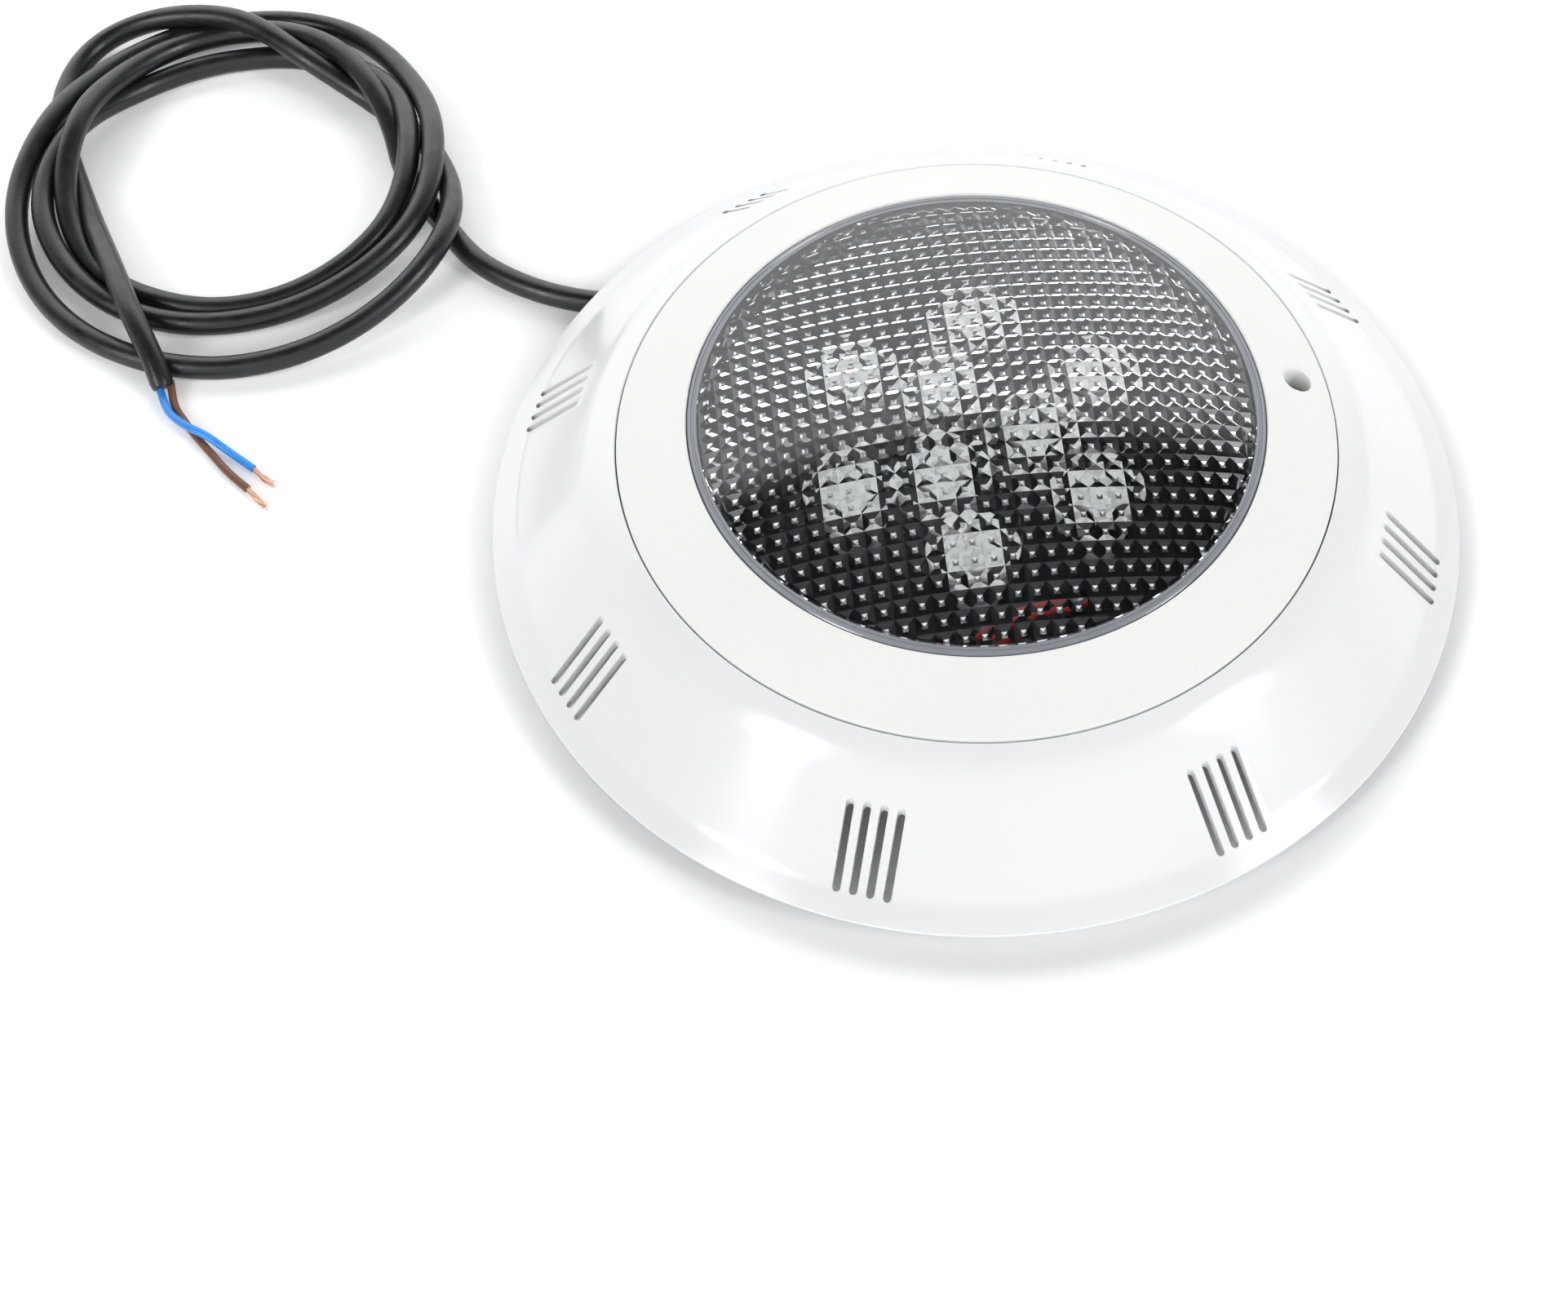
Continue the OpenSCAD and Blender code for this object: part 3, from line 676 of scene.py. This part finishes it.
def make_bezel():
    """Matt front ring with the rounded edge of the lens opening and the recess over the screw."""
    segments = 360

    def top_z(r):
        return LENS_RIM_Z - (r - LENS_OPENING_R) * (LENS_RIM_Z - BEZEL_SEAM_Z) / (BEZEL_R - LENS_OPENING_R)

    outer_edge = arc((BEZEL_R - 0.5, top_z(BEZEL_R - 0.5) - 0.55), 0.5, 0, 66, 5)
    inner_edge = arc((LENS_OPENING_R + 0.6, top_z(LENS_OPENING_R + 0.6) - 0.66), 0.6, 66, 180, 6)
    verts, faces = [], []

    def add(new_verts, new_faces):
        append_to(verts, faces, new_verts, new_faces)

    band = (outer_edge[-1][0], inner_edge[0][0])
    z_out, z_in = outer_edge[-1][1], inner_edge[0][1]

    def face_z(r):
        return z_out + (z_in - z_out) * (band[0] - r) / (band[0] - band[1])

    skirt_r = BEZEL_R - BEZEL_WALL
    under_out, under_in = (skirt_r, BEZEL_SEAM_Z - BEZEL_TOP_T), (BEZEL_STEP_R, BEZEL_UNDER_Z)

    def under_z(r):
        share = (under_out[0] - r) / (under_out[0] - under_in[0])
        return under_out[1] + share * (under_in[1] - under_out[1])

    add(*lathe_data([(skirt_r, FLANGE_TOP), (BEZEL_R, FLANGE_TOP)] + outer_edge, segments))
    step = [(LENS_OPENING_R, BEZEL_STEP_Z), (BEZEL_STEP_R, BEZEL_STEP_Z)]
    add(*lathe_data(inner_edge + step, segments))
    add(*lathe_data([(skirt_r, FLANGE_TOP), under_out], segments))
    add(*lathe_data([under_in, step[1]], segments))
    around = 48
    hole = circle(RECESS_AT, RECESS_R + RECESS_EDGE, around)
    radii = list(np.linspace(band[0], band[1], 8))
    plane, tris = annulus_with_holes(radii, segments, [hole])
    add([(p.x, p.y, face_z(p.length)) for p in plane], tris)
    boss, bore = circle(RECESS_AT, RECESS_R + BOSS_WALL, around), circle(RECESS_AT, RECESS_R, around)
    plane, tris = annulus_with_holes([under_out[0], RECESS_AT, under_in[0]], segments, [boss])
    add([(p.x, p.y, under_z(p.length)) for p in plane], tris)
    ring = [(k, (k + 1) % around, (k + 1) % around + around, k + around) for k in range(around)]
    add([(x, y, under_z(math.hypot(x, y))) for x, y in boss] + [(x, y, FLANGE_TOP) for x, y in boss], ring)
    add([(x, y, FLANGE_TOP) for x, y in boss + bore], ring)
    # The recess: its eased edge, then its wall down to the flange
    loops = []
    for shrink, drop in ((0, 0), (0.25, 0.12), (0.43, 0.3), (0.5, 0.55), (0.5, 20)):
        loops += [(x, y, max(face_z(math.hypot(x, y)) - drop, FLANGE_TOP))
                  for x, y in circle(RECESS_AT, RECESS_R + RECESS_EDGE - shrink, around)]
    add(loops, [tuple(j * around + i for i in quad) for j in range(4) for quad in ring])
    mesh = cleaned(mesh_from("bezel_ring", verts, faces), 35)
    bezel = new_object("bezel_ring", mesh, "lamp", MATS["bezel_plastic"])
    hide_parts("bezel")
    return bezel


def dome_z(r, edge_z):
    """Height of a dome over the lens's circle, with its edge at edge_z."""
    big = (LENS_R ** 2 + DOME_RISE ** 2) / (2 * DOME_RISE)
    return edge_z + DOME_RISE - big + math.sqrt(big * big - r * r)


PRISM_PITCH = 5.25
PRISM_DEPTH = 0.88
TIP_SHARE = 0.31
PRISM_TURN = math.radians(-2)
LENS_INSIDE_R = 79.5


def off_middle(x, y):
    """How far a point is from its pyramid's middle, in pitches: 0 there and 0.5 at the pyramid's sides."""
    c, s = math.cos(PRISM_TURN), math.sin(PRISM_TURN)
    u, v = (x * c + y * s) / PRISM_PITCH, (y * c - x * s) / PRISM_PITCH
    return max(abs(u - math.floor(u) - 0.5), abs(v - math.floor(v) - 0.5))


def prism_lift(x, y):
    """Height that the pyramids add to the lens's inner face at a point: negative, as they hang from it."""
    return -PRISM_DEPTH * max(0, 1 - 2 * off_middle(x, y))


def on_tip(x, y):
    """True if the point is in the middle part of a pyramid, where a painted glint shows as its bright tip."""
    return off_middle(x, y) < TIP_SHARE / 2


def prism_plane(edge_r, segments):
    """Points and triangles of a disc divided along every edge of the pyramids on it."""
    turns = [2 * math.pi * k / segments for k in range(segments)]
    pts = [Vector((edge_r * math.cos(a), edge_r * math.sin(a))) for a in turns]
    edges = [(k, (k + 1) % segments) for k in range(segments)]
    cells = int(edge_r / PRISM_PITCH) + 2
    c, s = math.cos(PRISM_TURN), math.sin(PRISM_TURN)
    known = {}

    def point(i, j):
        if (i, j) not in known:
            x, y = i * PRISM_PITCH / 2, j * PRISM_PITCH / 2
            known[i, j] = len(pts)
            pts.append(Vector((x * c - y * s, x * s + y * c)))
        return known[i, j]

    for i in range(-2 * cells, 2 * cells, 2):
        for j in range(-2 * cells, 2 * cells, 2):
            if math.hypot(i + 1, j + 1) * PRISM_PITCH / 2 > edge_r + PRISM_PITCH:
                continue
            around = [point(i, j), point(i + 2, j), point(i + 2, j + 2), point(i, j + 2)]
            h = TIP_SHARE
            tip = [point(i + 1 - h, j + 1 - h), point(i + 1 + h, j + 1 - h), point(i + 1 + h, j + 1 + h),
                   point(i + 1 - h, j + 1 + h)]
            mid = point(i + 1, j + 1)
            edges += [(around[k], around[(k + 1) % 4]) for k in range(4)] + list(zip(around, tip))
            edges += [(tip[k], tip[(k + 1) % 4]) for k in range(4)] + [(q, mid) for q in tip]
    flat, _, tris, *_ = delaunay_2d_cdt(pts, edges, [], 0, 1e-5)
    return flat, [t for t in tris if (sum((flat[i] for i in t), Vector((0, 0))) / 3).length < edge_r - 0.01]


def make_lens():
    """Domed lens, smooth outside, with rows of square pyramids inside."""
    segments = 240
    wall, foot, flange_r, flange_z, ring_r = 2.4, 43.2, 87.9, 46, 82.9
    edge_r = LENS_INSIDE_R
    outline = [(edge_r, foot), (flange_r, foot), (flange_r, flange_z), (ring_r, flange_z), (ring_r, 53.2)]
    # The small groove between the ring and the dome
    outline += [(82.6, 53.5), (81.9, 53.5), (81.7, 53.3), (81.2, 53.3), (81.0, 53.6), (LENS_R + 0.2, 53.6)]
    outline += [(r, dome_z(r, LENS_RIM_Z)) for r in np.linspace(LENS_R, 2, 40)]
    verts, faces = lathe_data(outline, segments)
    n = len(outline)
    verts.append((0, 0, dome_z(0, LENS_RIM_Z)))
    faces += [(k * n + n - 1, ((k + 1) % segments) * n + n - 1, len(verts) - 1) for k in range(segments)]

    def under_z(r):
        return dome_z(r, LENS_RIM_Z - wall)

    flat, tris = prism_plane(edge_r, segments)
    base = len(verts)
    for p in flat:
        r = min(p.length, edge_r)
        on_rim = r > edge_r - 0.05
        verts.append((p.x, p.y, under_z(r) + (0 if on_rim else prism_lift(p.x, p.y))))
    faces += [tuple(base + i for i in reversed(t)) for t in tris]
    append_to(verts, faces, *lathe_data([(edge_r, under_z(edge_r)), (edge_r, foot)], segments))
    mesh = cleaned(mesh_from("lens_dome", verts, faces), 12)
    lens = new_object("lens_dome", mesh, "lamp", MATS["lens_clear"])
    mesh.materials.append(MATS["lens_rim"])
    mesh.materials.append(MATS["lens_prisms"])
    mesh.materials.append(MATS["lens_tips"])
    for face in mesh.polygons:
        r, z = math.hypot(face.center.x, face.center.y) / M, face.center.z / M
        # The outer ring takes the dark grey that paints in the seal and the shaded gap under the clear ring
        if r > LENS_R + 0.3 and z > flange_z + 0.1:
            face.material_index = 1
        elif r < edge_r - 0.1 and face.normal.z < 0:
            # Pyramid tips take the metal that paints a glint on them; the other facets stay clear
            face.material_index = 3 if on_tip(face.center.x / M, face.center.y / M) else 2
    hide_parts("lens")
    return lens


# ---------------------------------------------------------------- stage and light

FLOOR_GLOW, FLOOR_FADE, FLOOR_HALF = 0.14, 25, 8


def make_stage():
    """Pale floor, lifted a little towards white outside the lamp's own shadow."""
    floor_mat = surface("pale_floor", (0.98, 0.98, 0.985), 0.7, tint=0.004, tint_scale=3, grain=0.02,
                        grain_scale=300, rough_spread=0.03, specular=0.2, glow=FLOOR_GLOW)
    tree = floor_mat.node_tree
    place = node(tree, "ShaderNodeTexCoord")
    away = node(tree, "ShaderNodeVectorMath", operation="LENGTH")
    fade = node(tree, "ShaderNodeMapRange", interpolation_type="SMOOTHSTEP")
    fade.inputs["From Min"].default_value = TRIM_R * M
    fade.inputs["From Max"].default_value = (TRIM_R + FLOOR_FADE) * M
    fade.inputs["To Max"].default_value = FLOOR_GLOW
    tree.links.new(place.outputs["Object"], away.inputs[0])
    tree.links.new(away.outputs["Value"], fade.inputs["Value"])
    tree.links.new(fade.outputs["Result"], tree.nodes["Principled BSDF"].inputs["Emission Strength"])
    mesh = bpy.data.meshes.new("floor")
    corners = [(x * FLOOR_HALF, y * FLOOR_HALF, 0) for x, y in ((-1, -1), (1, -1), (1, 1), (-1, 1))]
    mesh.from_pydata(corners, [], [(0, 1, 2, 3)])
    floor = bpy.data.objects.new("floor", mesh)
    bpy.context.collection.objects.link(floor)
    mesh.materials.append(floor_mat)


# Brightness of the studio by the angle from the zenith towards the back wall, and by the angle aside
LEAN_STOPS = [(-90, 0.36), (-40, 0.36), (-22, 0.02), (26, 0.02), (36, 0.75), (55, 0.8), (90, 0.6)]
SIDE_STOPS = [(0, 1), (40, 1), (65, 0.3), (105, 0.3), (125, 1), (180, 1)]
# Parts of the two soft boxes: direction about the lamp, height and half width, all in degrees
SOFT_BOXES = [(-146, 27, 6), (-147, 36, 7), (-148, 46, 6), (-33, 23, 6), (-32, 32, 7), (-31, 42, 6)]
BOX_LIGHT, BOX_FADE_OUT, BOX_FADE_IN = 2.0, 4, 3
# Where the even grey at the ends of the X axis begins and where it covers all, as shares of the axis
COVER_FROM, COVER_TO, COVER_GREY = 0.8, 0.97, 0.5
SKY_STRENGTH = 3.2


def eased_ramp(tree, factor, stops, low, high):
    """Colour ramp through grey stops given as (angle, value)."""
    ramp = node(tree, "ShaderNodeValToRGB")
    ramp.color_ramp.interpolation = "EASE"
    tree.links.new(factor, ramp.inputs["Fac"])
    ramp.color_ramp.elements.remove(ramp.color_ramp.elements[1])
    for k, (angle, value) in enumerate(stops):
        at = (angle - low) / (high - low)
        element = ramp.color_ramp.elements[0] if k == 0 else ramp.color_ramp.elements.new(at)
        element.position = at
        element.color = (value, value, value, 1)
    return ramp


def make_light():
    """A studio as a sky: a bright wall behind, a dark ceiling, a pale front and two tall soft boxes in it."""
    world = bpy.data.worlds.new("studio")
    world.use_nodes = True
    bpy.context.scene.world = world
    tree = world.node_tree
    link = tree.links.new
    sky = tree.nodes["Background"]
    place = node(tree, "ShaderNodeTexCoord")
    split = node(tree, "ShaderNodeSeparateXYZ")
    link(place.outputs["Generated"], split.inputs["Vector"])
    lean = node(tree, "ShaderNodeMath", operation="ARCTAN2")
    link(split.outputs["Y"], lean.inputs[0])
    link(split.outputs["Z"], lean.inputs[1])
    share = node(tree, "ShaderNodeMapRange")
    share.inputs["From Min"].default_value = math.radians(-90)
    share.inputs["From Max"].default_value = math.radians(90)
    link(lean.outputs["Value"], share.inputs["Value"])
    ramp = eased_ramp(tree, share.outputs["Result"], LEAN_STOPS, -90, 90)
    round_about = node(tree, "ShaderNodeMath", operation="ARCTAN2")
    link(split.outputs["X"], round_about.inputs[0])
    link(split.outputs["Y"], round_about.inputs[1])
    aside = node(tree, "ShaderNodeMath", operation="ABSOLUTE")
    link(round_about.outputs["Value"], aside.inputs[0])
    half = node(tree, "ShaderNodeMapRange")
    half.inputs["From Max"].default_value = math.pi
    link(aside.outputs["Value"], half.inputs["Value"])
    sides = eased_ramp(tree, half.outputs["Result"], SIDE_STOPS, 0, 180)
    # At either end of the X axis the angle jumps from one wall to the other, so an even grey covers it
    across = node(tree, "ShaderNodeMath", operation="ABSOLUTE")
    link(split.outputs["X"], across.inputs[0])
    cover = node(tree, "ShaderNodeMapRange", interpolation_type="SMOOTHSTEP")
    cover.inputs["From Min"].default_value = COVER_FROM
    cover.inputs["From Max"].default_value = COVER_TO
    link(across.outputs["Value"], cover.inputs["Value"])
    ends = node(tree, "ShaderNodeMix", data_type="RGBA")
    ends.inputs["B"].default_value = (COVER_GREY, COVER_GREY, COVER_GREY, 1)
    link(cover.outputs["Result"], ends.inputs["Factor"])
    link(ramp.outputs["Color"], ends.inputs["A"])
    walls = node(tree, "ShaderNodeMix", data_type="RGBA", blend_type="MULTIPLY")
    walls.inputs["Factor"].default_value = 1
    link(ends.outputs["Result"], walls.inputs["A"])
    link(sides.outputs["Color"], walls.inputs["B"])
    total = walls.outputs["Result"]
    for turn, rise, wide in SOFT_BOXES:
        a, e = math.radians(turn), math.radians(rise)
        near = node(tree, "ShaderNodeVectorMath", operation="DOT_PRODUCT")
        near.inputs[1].default_value = (math.cos(a) * math.cos(e), math.sin(a) * math.cos(e), math.sin(e))
        link(place.outputs["Generated"], near.inputs[0])
        glow = node(tree, "ShaderNodeMapRange", interpolation_type="SMOOTHSTEP")
        glow.inputs["From Min"].default_value = math.cos(math.radians(wide + BOX_FADE_OUT))
        glow.inputs["From Max"].default_value = math.cos(math.radians(wide - BOX_FADE_IN))
        glow.inputs["To Max"].default_value = BOX_LIGHT
        link(near.outputs["Value"], glow.inputs["Value"])
        both = node(tree, "ShaderNodeMix", data_type="RGBA", blend_type="ADD")
        both.inputs["Factor"].default_value = 1
        link(total, both.inputs["A"])
        link(glow.outputs["Result"], both.inputs["B"])
        total = both.outputs["Result"]
    link(total, sky.inputs["Color"])
    sky.inputs["Strength"].default_value = SKY_STRENGTH
    bpy.context.scene.view_settings.view_transform = "Standard"


make_camera()
make_cords()
paint_cad_nodes()
make_trim_ring()
make_bezel()
make_lens()
make_stage()
make_light()
